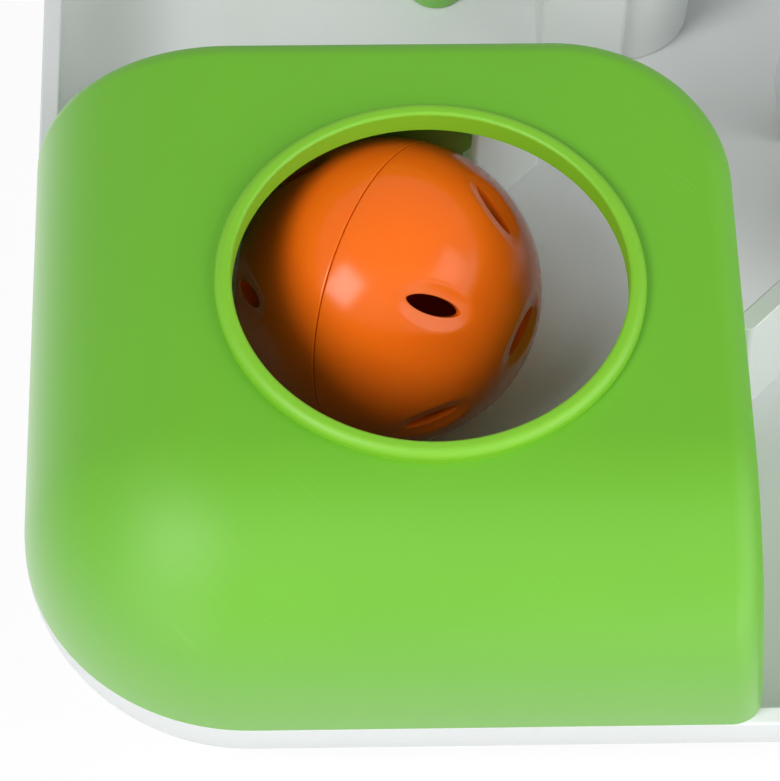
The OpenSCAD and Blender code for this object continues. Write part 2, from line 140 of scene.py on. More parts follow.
class FeederTray(PropertyGroup):
    corner: length("Corner", "Radius of the tray's corners in plan", 45.5)
    lower_edge: length("Lower edge", "Radius of the rounded edge under the tray", 28)
    wall: length("Wall", "Thickness of the tray's side wall", 4)
    floor: length("Floor", "Thickness of the tray's floor", 2.5)
    rim_round: length("Rim rounding", "Radius of the rim's two edges", 0.6)
    ring_height: length("Ring height", "Height of the rings that locate the tubes", 4)
    ring_wall: length("Ring wall", "Thickness of the rings that locate the tubes", 1.6)
    pin_radius: length("Pin radius", "Radius of the pins that hold the pegs", 3)
    pin_height: length("Pin height", "Height of the pins that hold the pegs", 6)
    rail_height: length("Rail height", "Height of the rails that hold the walls", 4)
    rail_wall: length("Rail thickness", "Thickness of the rails that hold the walls", 2)
    rail_inset: length("Rail inset", "Distance from a rail's end to the end of its wall", 4)
    foot_round: length("Foot rounding", "Radius of a rubber foot's edge", 0.5)
    foot_dish: length("Foot dish", "Depth of the dish under a rubber foot", 0.35)


class FeederHood(PropertyGroup):
    wall: length("Wall", "Thickness of the hood's wall", 2.5)
    front_corner: length("Front corner", "Radius of the hood's front left corner in plan", 45.5)
    rear_corner: length("Rear corner", "Radius of the hood's rear right corner in plan", 35)
    top_edge: length("Top edge", "Radius of the rounded edge along the flat sides", 6)
    soft_edge: length("Soft edge", "Rounding of the cut edges round the doorway", 0.5)
    draft: turn("Draft", "Slope of the right side, out towards its lower edge", 3)
    collar_radius: length("Opening radius", "Radius of the round opening in the roof", 39.2)
    collar_wall: length("Collar wall", "Thickness of the collar round the opening", 3.4)
    collar_rise: length("Collar rise", "Height of the collar above the roof", 2.8)
    collar_round: length("Collar rounding", "Radius of the collar's inner upper edge", 0.8)
    collar_brow: length("Collar brow", "Radius of the collar's outer upper edge", 1.9)
    collar_from_left: length("Opening from left", "Distance of the opening from the tray's left side", 81.5)
    collar_from_front: length("Opening from front", "Distance of the opening from the tray's front", 77.7)
    rear_post: length("Rear post", "Distance from the open corner to the rear door post", 50.3)
    right_post: length("Right post", "Distance from the open corner to the right door post", 40.3)
    apron_rise: length("Apron rise", "Height of the apron's lower edge above the rim", 3.2)
    apron_corner: length("Apron corner", "Radius of the apron's lower corner", 3)
    door_rise: length("Door rise", "Height of the doorway's top above the rim", 20)
    skirt: length("Skirt", "Thickness of the skirts that drop into the tray", 2.6)
    skirt_step: length("Skirt step", "Distance from a door post to the skirt's end", 2)
    flange: length("Flange", "Thickness of the flange that lies on the rim", 2.5)
    lip: length("Lip", "Thickness of the lip inside the rim", 1.6)
    lip_depth: length("Lip depth", "Depth of the lip inside the rim", 4)
    tray_gap: length("Tray gap", "Clearance between the hood and the inside of the tray", 0.4)


class FeederBall(PropertyGroup):
    diameter: length("Diameter", "Diameter of the treat ball", 64)
    wall: length("Wall", "Thickness of the ball's wall", 2.4)
    seam: length("Seam", "Gap between the two halves", 0.15)
    seam_edge: length("Seam edge", "Rounding of each half's edge at the seam", 0.22)
    axis_turn: turn("Axis turn", "Turn of the seam axis about the vertical", -28.3)
    axis_tilt: turn("Axis tilt", "Rise of the seam axis above the horizontal", 10.5)
    slot_length: length("Slot length", "Length of a treat slot", 12)
    slot_width: length("Slot width", "Width of a treat slot", 4)
    slot_point: FloatProperty(
        name="Slot point", description="0 for oval ends, 0.5 for pointed ends", default=0.1, min=0, max=0.5
    )
    dish_depth: length("Dish depth", "Depth of the dish round a slot", 1.2)
    dish_radius: length("Dish radius", "Radius of the dish across a slot", 15.4)
    dish_edge: length("Dish edge", "Softness of the dish's edge", 0.35)
    ring_angle: turn("Ring angle", "Angle of the slot ring from the pole", 49)
    ring_slots: IntProperty(name="Slots", description="Number of slots in a ring", default=5, min=3, max=6)
    pole_turn: turn("Pole turn", "Turn of the slot at each pole", 102)
    socket_turn: turn("Socket turn", "Turn of the slot ring on the socket half", -1)
    spigot_turn: turn("Spigot turn", "Turn of the slot ring on the spigot half", 21)
    spigot_wall: length("Spigot wall", "Thickness of the ring inside the seam", 2.2)
    spigot_height: length("Spigot height", "Length of the ring on each side of the seam", 5)
    spigot_gap: length("Spigot gap", "Gap between the ring and the inside of the wall", 0.58)


class FeederPlugIns(PropertyGroup):
    tube_radius: length("Tube radius", "Outside radius of a tube", 16.4)
    tube_wall: length("Tube wall", "Thickness of a tube's wall", 2)
    tube_gap: length("Tube gap", "Clearance between a tube and its ring", 0.3)
    corner_out: length("Corner reach", "How far a tube's square corner stands out past its round side", 2.6)
    corner_round: length("Corner rounding", "Radius of the edges of a tube's square corner", 1.2)
    peg_foot: length("Peg foot", "Radius of a peg at its foot", 6.5)
    peg_top: length("Peg top", "Radius of a peg's round top", 4.5)
    peg_gap: length("Peg gap", "Radial clearance of a peg on its pin", 0.08)
    top_gap: length("Top gap", "Clearance over the top of a pin or a rail", 0.5)
    wall: length("Wall", "Thickness of a plug-in wall", 4.4)
    wall_round: length("Wall rounding", "Radius of a plug-in wall's upper edge", 0.35)
    rail_gap: length("Rail gap", "Clearance of a wall on each side of its rail", 0.15)


class FeederFinish(PropertyGroup):
    white: paint("White", "Colour of the tray, the tubes and the walls", (0.72, 0.745, 0.742, 1))
    green: paint("Green", "Colour of the hood and the pegs", (0.126, 0.412, 0.012, 1))
    # The collar's colour is the hood's green made lighter: painted light that stands in for the glow
    # through its thin edge
    green_rim: paint("Green rim", "Colour of the collar, whose thin edge glows", (0.19, 0.50, 0.016, 1))
    orange: paint("Orange", "Colour of the treat ball", (0.95, 0.158, 0.006, 1))
    glow: length("Glow", "How far light spreads in the ball's thin wall", 4)
    rubber: paint("Rubber", "Colour of the feet", (0.018, 0.018, 0.019, 1))


class FeederStage(PropertyGroup):
    camera_at: FloatVectorProperty(
        name="Camera", description="Place of the camera", default=(-0.09612, -0.48879, 0.66249),
        size=3, subtype="TRANSLATION", unit="LENGTH",
    )
    camera_aim: FloatVectorProperty(
        name="Aim", description="Point in the middle of the view", default=(-0.0761, -0.0776, 0.0400),
        size=3, subtype="TRANSLATION", unit="LENGTH",
    )
    camera_roll: turn("Roll", "Turn of the camera about its own view", 1.72)
    camera_lens: FloatProperty(
        name="Lens", description="Focal length, in mm of a 36 mm wide film", default=169.4, min=1
    )
    world_light: FloatProperty(
        name="Room light", description="Strength of the light from all round", default=0.12, min=0
    )
    left: power("Left softbox", "Power of the softbox high at the left", 17)
    right: power("Right softbox", "Power of the softbox high at the right", 2.5)
    front_left: power("Front left softbox", "Power of the low softbox at the front left", 1.8)
    front_right: power("Front right softbox", "Power of the low softbox at the front right", 4.2)
    front: power("Front softbox", "Power of the wide softbox high at the front", 1.4)
    low_right: power("Low right softbox", "Power of the low softbox at the right", 5.2)


# Modelling helpers


def deselect_all():
    if bpy.context.object and bpy.context.object.mode != "OBJECT":
        bpy.ops.object.mode_set(mode="OBJECT")
    bpy.ops.object.select_all(action="DESELECT")


def only(piece):
    """Makes a piece the one that the object operators act on."""
    deselect_all()
    piece.select_set(True)
    bpy.context.view_layer.objects.active = piece


def rename(piece, name):
    piece.name = name
    piece.data.name = name
    return piece


def settle(name):
    """Names the new primitive and puts its place and size into its mesh."""
    bpy.ops.object.transform_apply(location=True, rotation=True, scale=True)
    return rename(bpy.context.object, name)


@contextmanager
def editing(piece):
    only(piece)
    bpy.ops.object.mode_set(mode="EDIT")
    yield
    bpy.ops.object.mode_set(mode="OBJECT")


def pick(piece, kind, test):
    """Selects, in edit mode, just the edges or faces that pass a test."""
    bpy.ops.mesh.select_mode(type=kind)
    bpy.ops.mesh.select_all(action="DESELECT")
    mesh = bmesh.from_edit_mesh(piece.data)
    found = [part for part in (mesh.edges if kind == "EDGE" else mesh.faces) if test(part)]
    if not found:
        raise RuntimeError(f"{piece.name} has no such {kind.lower()}")
    for part in found:
        part.select_set(True)
    bmesh.update_edit_mesh(piece.data, loop_triangles=False, destructive=False)


def near(a, b):
    return abs(a - b) < LEVEL


def upright(edge):
    a, b = (v.co for v in edge.verts)
    return near(a.x, b.x) and near(a.y, b.y)


def upright_at(x, y):
    """A test for the upright edge over one point."""
    return lambda edge: upright(edge) and near(edge.verts[0].co.x, x) and near(edge.verts[0].co.y, y)


def level_with(z):
    """A test for the edges or faces at one height."""
    return lambda part: all(near(v.co.z, z) for v in part.verts)


def sharp(edge):
    return len(edge.link_faces) == 2 and edge.calc_face_angle() > CREASE


def sharp_at(z):
    """A test for the sharp edges at one height."""
    level = level_with(z)
    return lambda edge: level(edge) and sharp(edge)


def face_outwards():
    bpy.ops.mesh.select_all(action="SELECT")
    bpy.ops.mesh.normals_make_consistent(inside=False)


def close_up(gap=TOUCH):
    """Merges, in edit mode, the points that touch, and turns all faces outwards."""
    bpy.ops.mesh.select_all(action="SELECT")
    bpy.ops.mesh.remove_doubles(threshold=gap)
    face_outwards()


def round_edges(piece, test, radius, segments):
    pick(piece, "EDGE", test)
    bpy.ops.mesh.bevel(offset=radius, segments=segments, profile=0.5, affect="EDGES", clamp_overlap=False)


def add_block(name, low, high):
    """A cuboid between two corners."""
    low, high = Vector(low), Vector(high)
    deselect_all()
    bpy.ops.mesh.primitive_cube_add(size=1, location=(low + high) / 2, scale=high - low)
    return settle(name)


def arc(centre_r, centre_z, radius, start, end, steps):
    """Points of a round stretch of a turned profile, with angles in degrees from the outward direction."""
    angles = [math.radians(start + (end - start) * i / steps) for i in range(steps + 1)]
    return [(centre_r + radius * math.cos(a), centre_z + radius * math.sin(a)) for a in angles]


def lathe(name, profile, segments, at=(0, 0, 0)):
    """A ring drawn out along a profile of (radius, height) points, whose ends meet or lie on the axis."""
    deselect_all()
    r, z = profile[0]
    at = Vector(at)
    start = at + Vector((0, 0, z))
    bpy.ops.mesh.primitive_circle_add(vertices=segments, radius=max(r, TIP), location=start)
    piece = settle(name)
    with editing(piece):
        bpy.ops.mesh.select_all(action="SELECT")
        for (r, z), (r_next, z_next) in zip(profile, profile[1:]):
            grow = max(r_next, TIP) / max(r, TIP)
            bpy.ops.mesh.extrude_edges_move(TRANSFORM_OT_translate={"value": (0, 0, z_next - z)})
            bpy.ops.transform.resize(value=(grow, grow, 1), center_override=at)
        close_up()
    return piece


def stand_in(piece, matrix):
    """Puts a finished mesh into another frame, with the place in its mesh."""
    only(piece)
    piece.matrix_world = matrix
    bpy.ops.object.transform_apply(location=True, rotation=True, scale=True)
    return piece


def standing(point, z):
    """The place over a point, at a height."""
    return Matrix.Translation((point.x, point.y, z))


def repeated(pattern, places):
    """Copies a shape to named places, each copy with its own mesh, and removes the first one."""
    copies = []
    for name, place in places.items():
        only(pattern)
        bpy.ops.object.duplicate(linked=False)
        copies.append(stand_in(rename(bpy.context.object, name), place))
    bpy.data.meshes.remove(pattern.data)
    return copies


def joined(name, pieces):
    """Several meshes as one object."""
    deselect_all()
    for piece in pieces:
        piece.select_set(True)
    bpy.context.view_layer.objects.active = pieces[0]
    bpy.ops.object.join()
    return rename(pieces[0], name)


def add_modifier(piece, kind, **settings):
    """Adds a modifier, sets it and applies it."""
    only(piece)
    bpy.ops.object.modifier_add(type=kind)
    modifier = piece.modifiers[-1]
    for key, value in settings.items():
        setattr(modifier, key, value)
    bpy.ops.object.modifier_apply(modifier=modifier.name)


def combine(piece, tool, operation):
    """Cuts a tool out of a piece, or melts it into the piece, and removes the tool."""
    add_modifier(piece, "BOOLEAN", operation=operation, object=tool, solver="MANIFOLD")
    bpy.data.meshes.remove(tool.data)
    if not piece.data.polygons:
        raise RuntimeError(f"nothing is left of {piece.name}")


def finish_piece(piece, material, body, slot, *nodes):
    """Smooths a piece, paints it and hangs it on its body in place of its nodes."""
    only(piece)
    bpy.ops.object.shade_smooth_by_angle(angle=CREASE)
    add_modifier(piece, "WEIGHTED_NORMAL", keep_sharp=True, weight=80)
    piece.data.materials.clear()
    piece.data.materials.append(material)
    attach(piece, body)
    if nodes:
        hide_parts(*nodes)


# Materials


class Wire:
    """An output socket. Sums and products of wires and numbers become Math nodes."""

    def __init__(self, finish, socket):
        self.finish = finish
        self.socket = socket

    def maths(self, operation, first, second):
        return self.finish.node("ShaderNodeMath", {"operation": operation}, {0: first, 1: second})

    def __add__(self, other):
        return self.maths("ADD", self, other)

    __radd__ = __add__

    def __mul__(self, other):
        return self.maths("MULTIPLY", self, other)

    __rmul__ = __mul__

    def __sub__(self, other):
        return self.maths("SUBTRACT", self, other)

    def __rsub__(self, other):
        return self.maths("SUBTRACT", other, self)


class Finish:
    """One node tree, and the one way to add a node to it."""

    def __init__(self, tree):
        self.tree = tree
        tree.nodes.clear()

    def node(self, kind, settings=None, inputs=None, output=0):
        made = self.tree.nodes.new(kind)
        for key, value in (settings or {}).items():
            setattr(made, key, value)
        for key, value in (inputs or {}).items():
            if isinstance(value, Wire):
                self.tree.links.new(value.socket, made.inputs[key])
            else:
                made.inputs[key].default_value = value
        return Wire(self, made.outputs[output]) if len(made.outputs) else made

    def place(self):
        return self.node("ShaderNodeTexCoord", output="Object")

    def noise(self, place, size, detail):
        """Cloudy values from 0 to 1 whose blots are about one size across."""
        return self.node("ShaderNodeTexNoise", {}, {"Vector": place, "Scale": 1 / size, "Detail": detail})

    def ramp(self, value, low, high):
        """0 below low, 1 above high, smooth between."""
        inputs = {"Value": value, "From Min": low, "From Max": high}
        return self.node("ShaderNodeMapRange", {"interpolation_type": "SMOOTHSTEP", "clamp": True}, inputs)

    def blend(self, factor, first, second):
        """A colour between two colours."""
        return self.node("ShaderNodeMix", {"data_type": "RGBA"}, {0: factor, 6: first, 7: second}, output=2)

    def hairlines(self, place, turn_z, long, wide):
        """Fine straight scratches: noise that is drawn out in one direction."""
        drawn = self.node(
            "ShaderNodeMapping", {"vector_type": "TEXTURE"},
            {"Vector": place, "Rotation": (*HAIR_LEAN, turn_z), "Scale": (long, wide, long)},
        )
        return self.ramp(self.noise(drawn, size=1, detail=1), *HAIR_RISE)

    def bump(self, height, depth):
        return self.node("ShaderNodeBump", {}, {"Strength": 1.0, "Distance": depth, "Height": height})

    def show(self, inputs):
        """Ends the tree in a Principled shader."""
        skin = self.node("ShaderNodeBsdfPrincipled", {}, inputs)
        self.node("ShaderNodeOutputMaterial", {}, {"Surface": skin})


def new_material(name):
    material = bpy.data.materials.get(name)
    if material is None:
        material = bpy.data.materials.new(name)
        material.use_nodes = True
    return material


def tint(colour, share):
    """A colour made lighter or darker by a share."""
    return [channel * share for channel in colour[:3]] + [1.0]


def white_plastic():
    """Satin white moulding: faint cloudiness, fine mould grain, and hairlines from washing."""
    colour = bpy.context.scene.feeder_finish.white
    material = new_material("white_plastic")
    finish = Finish(material.node_tree)
    place = finish.place()
    cloud = finish.noise(place, size=45 * MM, detail=3)
    grain = finish.noise(place, size=0.55 * MM, detail=2)
    lines = finish.hairlines(place, turn_z=0.5, long=22 * MM, wide=0.35 * MM)
    finish.show({
        "Base Color": finish.blend(cloud, tint(colour, 0.965), tint(colour, 1.035)),
        "Roughness": 0.36 + cloud * 0.10 + lines * 0.12,
        "IOR": 1.49,
        "Normal": finish.bump(grain * 0.6 + lines * 0.3, 0.012 * MM),
    })
    return material


def green_plastic(name="green_plastic", colour=None):
    """Satin green moulding: fine grain, a few pale scuffs, and a polish that grows down the sides."""
    colour = colour or bpy.context.scene.feeder_finish.green
    material = new_material(name)
    finish = Finish(material.node_tree)
    place = finish.place()
    cloud = finish.noise(place, size=38 * MM, detail=3)
    grain = finish.noise(place, size=0.42 * MM, detail=2)
    scuffed = finish.ramp(cloud, 0.45, 0.62)
    lines = finish.hairlines(place, turn_z=-0.8, long=16 * MM, wide=0.28 * MM) * scuffed
    body = finish.blend(cloud, tint(colour, 0.96), tint(colour, 1.04))
    height = finish.node("ShaderNodeSeparateXYZ", {}, {0: place}, output="Z")
    finish.show({
        "Base Color": finish.blend(lines * 0.10, body, SCUFF),
        "Roughness": 0.47 + cloud * 0.08 + lines * 0.1,
        "IOR": 1.54,
        "Coat Weight": 1 - finish.ramp(height, *POLISH_FADE),
        "Coat Roughness": 0.32,
        "Coat IOR": 1.75,
        "Normal": finish.bump(grain + lines * 0.4, 0.014 * MM),
    })
    return material


def orange_plastic():
    """Gloss orange moulding, with the slight ripple of a polished mould."""
    colour = bpy.context.scene.feeder_finish.orange
    material = new_material("orange_plastic")
    finish = Finish(material.node_tree)
    place = finish.place()
    cloud = finish.noise(place, size=20 * MM, detail=3)
    ripple = finish.noise(place, size=5 * MM, detail=1)
    lines = finish.hairlines(place, turn_z=1.1, long=9 * MM, wide=0.2 * MM)
    finish.show({
        "Base Color": finish.blend(cloud, tint(colour, 0.97), tint(colour, 1.03)),
        "Roughness": 0.17 + cloud * 0.05 + lines * 0.08,
        "IOR": 1.50,
        "Specular IOR Level": 0.2,
        "Subsurface Weight": 0.25,
        "Subsurface Radius": (1.0, 0.2, 0.04),
        "Subsurface Scale": bpy.context.scene.feeder_finish.glow,
        "Normal": finish.bump(ripple + lines * 0.05, 0.03 * MM),
    })
    return material


def black_rubber():
    """Matt black rubber with a coarse, dusty grain."""
    colour = bpy.context.scene.feeder_finish.rubber
    material = new_material("black_rubber")
    finish = Finish(material.node_tree)
    place = finish.place()
    dust = finish.ramp(finish.noise(place, size=6 * MM, detail=4), 0.5, 0.75)
    grain = finish.noise(place, size=0.5 * MM, detail=3)
    finish.show({
        "Base Color": finish.blend(dust * 0.35, colour, DUST),
        "Roughness": 0.72 + dust * 0.18,
        "Normal": finish.bump(grain, 0.05 * MM),
    })
    return material


# Pieces


def floor_z(tray):
    return TRAY_LOW.z + tray.floor


def middle_of(node):
    low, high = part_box(node)
    return (low + high) / 2


def tube_axis(node, plug):
    """A tube's axis on the floor, from its round far sides; the square corner is at the front left."""
    low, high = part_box(node)
    return Vector((high.x - plug.tube_radius, high.y - plug.tube_radius, low.z))


def wall_frame(node):
    """A plug-in wall's own frame, with X along the wall, and its place on the floor."""
    return standing(middle_of(node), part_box(node)[0].z) @ Matrix.Rotation(WALL_TURN, 4, "Z")


def wall_length(node, plug):
    low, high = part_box(node)
    return (high.x - low.x - plug.wall) / math.cos(WALL_TURN) + plug.wall


class FEEDER_OT_tray(Operator):
    """Model the white tray with its rim, its rings, pins and rails"""
    bl_idname = "feeder.tray"
    bl_label = "Tray"

    def execute(self, context):
        tray = context.scene.feeder_tray
        plug = context.scene.feeder_plug_ins
        floor = floor_z(tray)
        board = add_block("tray_board", TRAY_LOW, TRAY_HIGH)
        with editing(board):
            round_edges(board, upright, tray.corner, segments=32)
            round_edges(board, level_with(TRAY_LOW.z), tray.lower_edge, segments=14)
            pick(board, "FACE", level_with(RIM))
            bpy.ops.mesh.inset(thickness=tray.wall)
            bpy.ops.mesh.extrude_region_move(TRANSFORM_OT_translate={"value": (0, 0, floor - RIM)})
            round_edges(board, level_with(floor), tray.lower_edge - tray.wall, segments=12)
            round_edges(board, sharp_at(RIM), tray.rim_round, segments=4)
        sunk = floor - tray.floor / 2
        outer = plug.tube_radius - plug.tube_wall - plug.tube_gap
        inner = outer - tray.ring_wall
        top = floor + tray.ring_height
        soft = tray.ring_wall / 4
        profile = [
            (outer, sunk), (outer, top - soft), (outer - soft, top),
            (inner + soft, top), (inner, top - soft), (inner, sunk), (outer, sunk),
        ]
        ring = lathe("ring", profile, segments=72)
        fittings = repeated(ring, {node + "_ring": standing(tube_axis(node, plug), 0) for node in TUBES})
        top = floor + tray.pin_height
        soft = tray.pin_radius / 5
        profile = [
            (0, sunk), (tray.pin_radius, sunk), (tray.pin_radius, top - soft),
            (tray.pin_radius - soft, top), (0, top),
        ]
        pin = lathe("pin", profile, segments=32)
        fittings += repeated(pin, {node + "_pin": standing(middle_of(node), 0) for node in PEGS})
        for node in WALLS:
            half = wall_length(node, plug) / 2 - tray.rail_inset
            side = tray.rail_wall / 2
            rail = add_block("rail", (-half, -side, sunk - floor), (half, side, tray.rail_height))
            with editing(rail):
                round_edges(rail, level_with(tray.rail_height), side / 3, segments=2)
            fittings.append(stand_in(rail, wall_frame(node)))
        combine(board, joined("fittings", fittings), "UNION")
        finish_piece(board, white_plastic(), "tray", "white_plastic", "tray")
        return {"FINISHED"}


class FEEDER_OT_feet(Operator):
    """Model the four dished rubber feet"""
    bl_idname = "feeder.feet"
    bl_label = "Feet"

    def execute(self, context):
        tray = context.scene.feeder_tray
        low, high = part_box(FEET[0])
        radius = (high.x - low.x) / 2
        tall = TRAY_LOW.z - low.z
        soft = tray.foot_round
        dish_radius = radius * FOOT_DISH
        profile = [(0, tray.foot_dish), (dish_radius, tray.foot_dish), (dish_radius + tray.foot_dish, 0)]
        profile += arc(radius - soft, soft, soft, -90, 0, steps=4)
        profile += [(radius, tall), (0, tall)]
        pad = lathe("pad", profile, segments=64)
        pads = repeated(pad, {node + "_pad": standing(middle_of(node), low.z) for node in FEET})
        for node, pad in zip(FEET, pads):
            finish_piece(pad, black_rubber(), "tray", "rubber", node)
        return {"FINISHED"}


class FEEDER_OT_hood(Operator):
    """Model the green hood: its bent shell, aprons, skirts, flange and lip"""
    bl_idname = "feeder.hood"
    bl_label = "Hood"

    def execute(self, context):
        hood = context.scene.feeder_hood
        tray = context.scene.feeder_tray
        roof = HOOD_HIGH.z - hood.collar_rise
        shell = self.shell(hood, roof)
        self.cut_opening(shell, hood, roof)
        self.cut_doorway(shell, hood)
        add_modifier(
            shell, "BEVEL", limit_method="ANGLE", angle_limit=CUT_EDGE, width=hood.soft_edge, segments=2
        )
        combine(shell, self.skirts(hood, tray, roof), "UNION")
        combine(shell, self.rim_seat(hood, tray), "UNION")
        finish_piece(shell, green_plastic(), "hood", "green_plastic", "hood")
        return {"FINISHED"}

    def shell(self, hood, roof):
        """A block rounded to the hood's outside, open below, with its wall drawn inwards."""
        bend = roof - RIM
        spare = 4 * MM
        below = RIM - spare
        shell = add_block("hood_shell", (HOOD_LOW.x, HOOD_LOW.y, below), (HOOD_HIGH.x, HOOD_HIGH.y, roof))
        low = level_with(below)

        def bent(edge):
            """A roof edge along the front, the left or the corner between them."""
            middle = (edge.verts[0].co + edge.verts[1].co) / 2
            inside = middle.x < HOOD_HIGH.x - TOUCH and middle.y < HOOD_HIGH.y - TOUCH
            by_front = middle.y < HOOD_LOW.y + hood.front_corner
            by_left = middle.x < HOOD_LOW.x + hood.front_corner
            return level_with(roof)(edge) and inside and (by_front or by_left)

        with editing(shell):
            round_edges(shell, upright_at(HOOD_LOW.x, HOOD_LOW.y), hood.front_corner, segments=28)
            round_edges(shell, upright_at(HOOD_HIGH.x, HOOD_HIGH.y), hood.rear_corner, segments=22)
            round_edges(shell, bent, bend, segments=24)
            round_edges(shell, lambda edge: sharp(edge) and not low(edge), hood.top_edge, segments=8)
            bpy.ops.mesh.select_all(action="SELECT")
            bpy.ops.mesh.bisect(plane_co=(0, 0, RIM), plane_no=(0, 0, 1), clear_inner=True)
            close_up()
        self.lean(shell, hood, roof)
        add_modifier(shell, "SOLIDIFY", thickness=hood.wall, offset=-1, use_even_offset=True)
        return shell

    def lean(self, shell, hood, roof):
        """Leans the right half out towards its lower edge, as a mould's draft does."""
        middle = (HOOD_LOW.x + HOOD_HIGH.x) / 2
        for vertex in shell.data.vertices:
            share = max(vertex.co.x - middle, 0) / (HOOD_HIGH.x - middle)
            vertex.co.x += share * share * (roof - vertex.co.z) * math.tan(hood.draft)

    def cut_opening(self, shell, hood, roof):
        """The round hole that the collar lines."""
        radius = hood.collar_radius + hood.collar_wall / 3
        deep = 4 * hood.wall
        profile = [(0, -deep), (radius, -deep), (radius, deep), (0, deep)]
        combine(shell, lathe("opening", profile, segments=128, at=collar_at(hood, roof)), "DIFFERENCE")

    def cut_doorway(self, shell, hood):
        """The doorway round the open corner, and the lower edge of the aprons beside it."""
        past = 6 * MM
        low = RIM - past
        apron = RIM + hood.apron_rise
        door = RIM + hood.door_rise
        post_x = HOOD_HIGH.x - hood.rear_post
        post_y = HOOD_HIGH.y - hood.right_post
        right = HOOD_HIGH.x + past
        rear = HOOD_HIGH.y + past
        through = hood.wall + past
        seat = tray_seat(hood)
        for name, start, end in (
            ("door", (post_x, post_y, low), (right, rear, door)),
            ("rear_gap", (HOOD_LOW.x + seat, HOOD_HIGH.y - through, low), (post_x + past, rear, apron)),
            ("right_gap", (HOOD_HIGH.x - through, HOOD_LOW.y + seat, low), (right, post_y + past, apron)),
        ):
            combine(shell, add_block(name, start, end), "DIFFERENCE")

        def apron_corner(edge):
            a, b = (v.co for v in edge.verts)
            at_apron = near(a.z, apron) and near(b.z, apron)
            at_rear = near(a.x, post_x) and near(b.x, post_x)
            at_right = near(a.y, post_y) and near(b.y, post_y)
            return at_apron and (at_rear or at_right)

        with editing(shell):
            round_edges(shell, apron_corner, hood.apron_corner, segments=5)

    def skirts(self, hood, tray, roof):
        """The two plates that hang from the roof behind the aprons and drop into the tray."""
        half_wall = hood.wall / 2
        top = roof - half_wall
        bend = top - RIM
        drop = floor_z(tray) + hood.tray_gap
        inner = tray.wall + hood.tray_gap
        lower_round = tray.lower_edge - inner
        lap = 1 * MM

        def along_thickness(x, z):
            return lambda edge: all(near(v.co.x, x) and near(v.co.z, z) for v in edge.verts)

        def plate(name, run, thick_from):
            thick_to = thick_from + hood.skirt
            upper = add_block(name, (half_wall, thick_from, RIM), (run, thick_to, top))
            with editing(upper):
                round_edges(upper, along_thickness(half_wall, top), bend, segments=20)
            lower = add_block(name, (inner, thick_from, drop), (run, thick_to, RIM + lap))
            with editing(lower):
                round_edges(lower, along_thickness(inner, drop), lower_round, segments=10)
            combine(upper, lower, "UNION")
            return upper

        corner = Matrix.Translation((HOOD_LOW.x, HOOD_LOW.y, 0))
        swap = Matrix(((0, 1, 0, 0), (1, 0, 0, 0), (0, 0, 1, 0), (0, 0, 0, 1)))
        width = HOOD_HIGH.x - HOOD_LOW.x
        depth = HOOD_HIGH.y - HOOD_LOW.y
        within = hood.wall + hood.skirt
        rear = plate("rear_skirt", width - hood.rear_post - hood.skirt_step, depth - within)
        stand_in(rear, corner)
        right = plate("right_skirt", depth - hood.right_post - hood.skirt_step, width - within)
        stand_in(right, corner @ swap)
        with editing(right):
            face_outwards()
        return joined("skirts", [rear, right])

    def rim_seat(self, hood, tray):
        """The flange that lies on the rim and the lip that drops inside it."""
        past = 3 * MM
        right = HOOD_HIGH.x - hood.wall
        rear = HOOD_HIGH.y - hood.wall

        def strip(name, outer, inner, low, high):
            """A band along the front and the left, between two distances from the outside."""
            block = add_block(name, (HOOD_LOW.x + outer, HOOD_LOW.y + outer, low), (right, rear, high))
            room = add_block(
                name + "_room", (HOOD_LOW.x + inner, HOOD_LOW.y + inner, low - past),
                (HOOD_HIGH.x + past, HOOD_HIGH.y + past, high + past),
            )
            for solid, inset in ((block, outer), (room, inner)):
                corner = upright_at(HOOD_LOW.x + inset, HOOD_LOW.y + inset)
                with editing(solid):
                    round_edges(solid, corner, hood.front_corner - inset, segments=24)
            combine(block, room, "DIFFERENCE")
            return block

        seat = tray_seat(hood)
        lip_at = tray.wall + hood.tray_gap
        flange = strip("flange", hood.wall / 2, seat, RIM, RIM + hood.flange)
        lip = strip("lip", lip_at, seat, RIM - hood.lip_depth, RIM + hood.flange / 2)
        combine(flange, lip, "UNION")
        return flange


def tray_seat(hood):
    """How far in from the outside the hood's flange and lip reach."""
    tray = bpy.context.scene.feeder_tray
    return tray.wall + hood.tray_gap + hood.lip


def collar_at(hood, roof):
    return Vector((TRAY_LOW.x + hood.collar_from_left, TRAY_LOW.y + hood.collar_from_front, roof))


class FEEDER_OT_collar(Operator):
    """Model the raised collar round the hood's opening"""
    bl_idname = "feeder.collar"
    bl_label = "Collar"

    def execute(self, context):
        hood = context.scene.feeder_hood
        roof = HOOD_HIGH.z - hood.collar_rise
        inner = hood.collar_radius
        outer = inner + hood.collar_wall
        lining = inner + hood.collar_wall / 2
        top = hood.collar_rise
        soft = hood.collar_round
        brow = hood.collar_brow
        sunk = hood.wall / 3
        profile = [(inner, -hood.wall)]
        profile += arc(inner + soft, top - soft, soft, 180, 90, steps=6)
        profile += arc(outer - brow, top - brow, brow, 90, 0, steps=10)
        profile += [(outer, -sunk), (lining, -sunk), (lining, -hood.wall), (inner, -hood.wall)]
        ring = lathe("hood_collar", profile, segments=160, at=collar_at(hood, roof))
        # A lighter copy of the green material, which paints on the glow of the collar's thin edge; the
        # plastic is the hood's
        paint_on = green_plastic("green_rim", context.scene.feeder_finish.green_rim)
        finish_piece(ring, paint_on, "hood", "green_plastic")
        return {"FINISHED"}


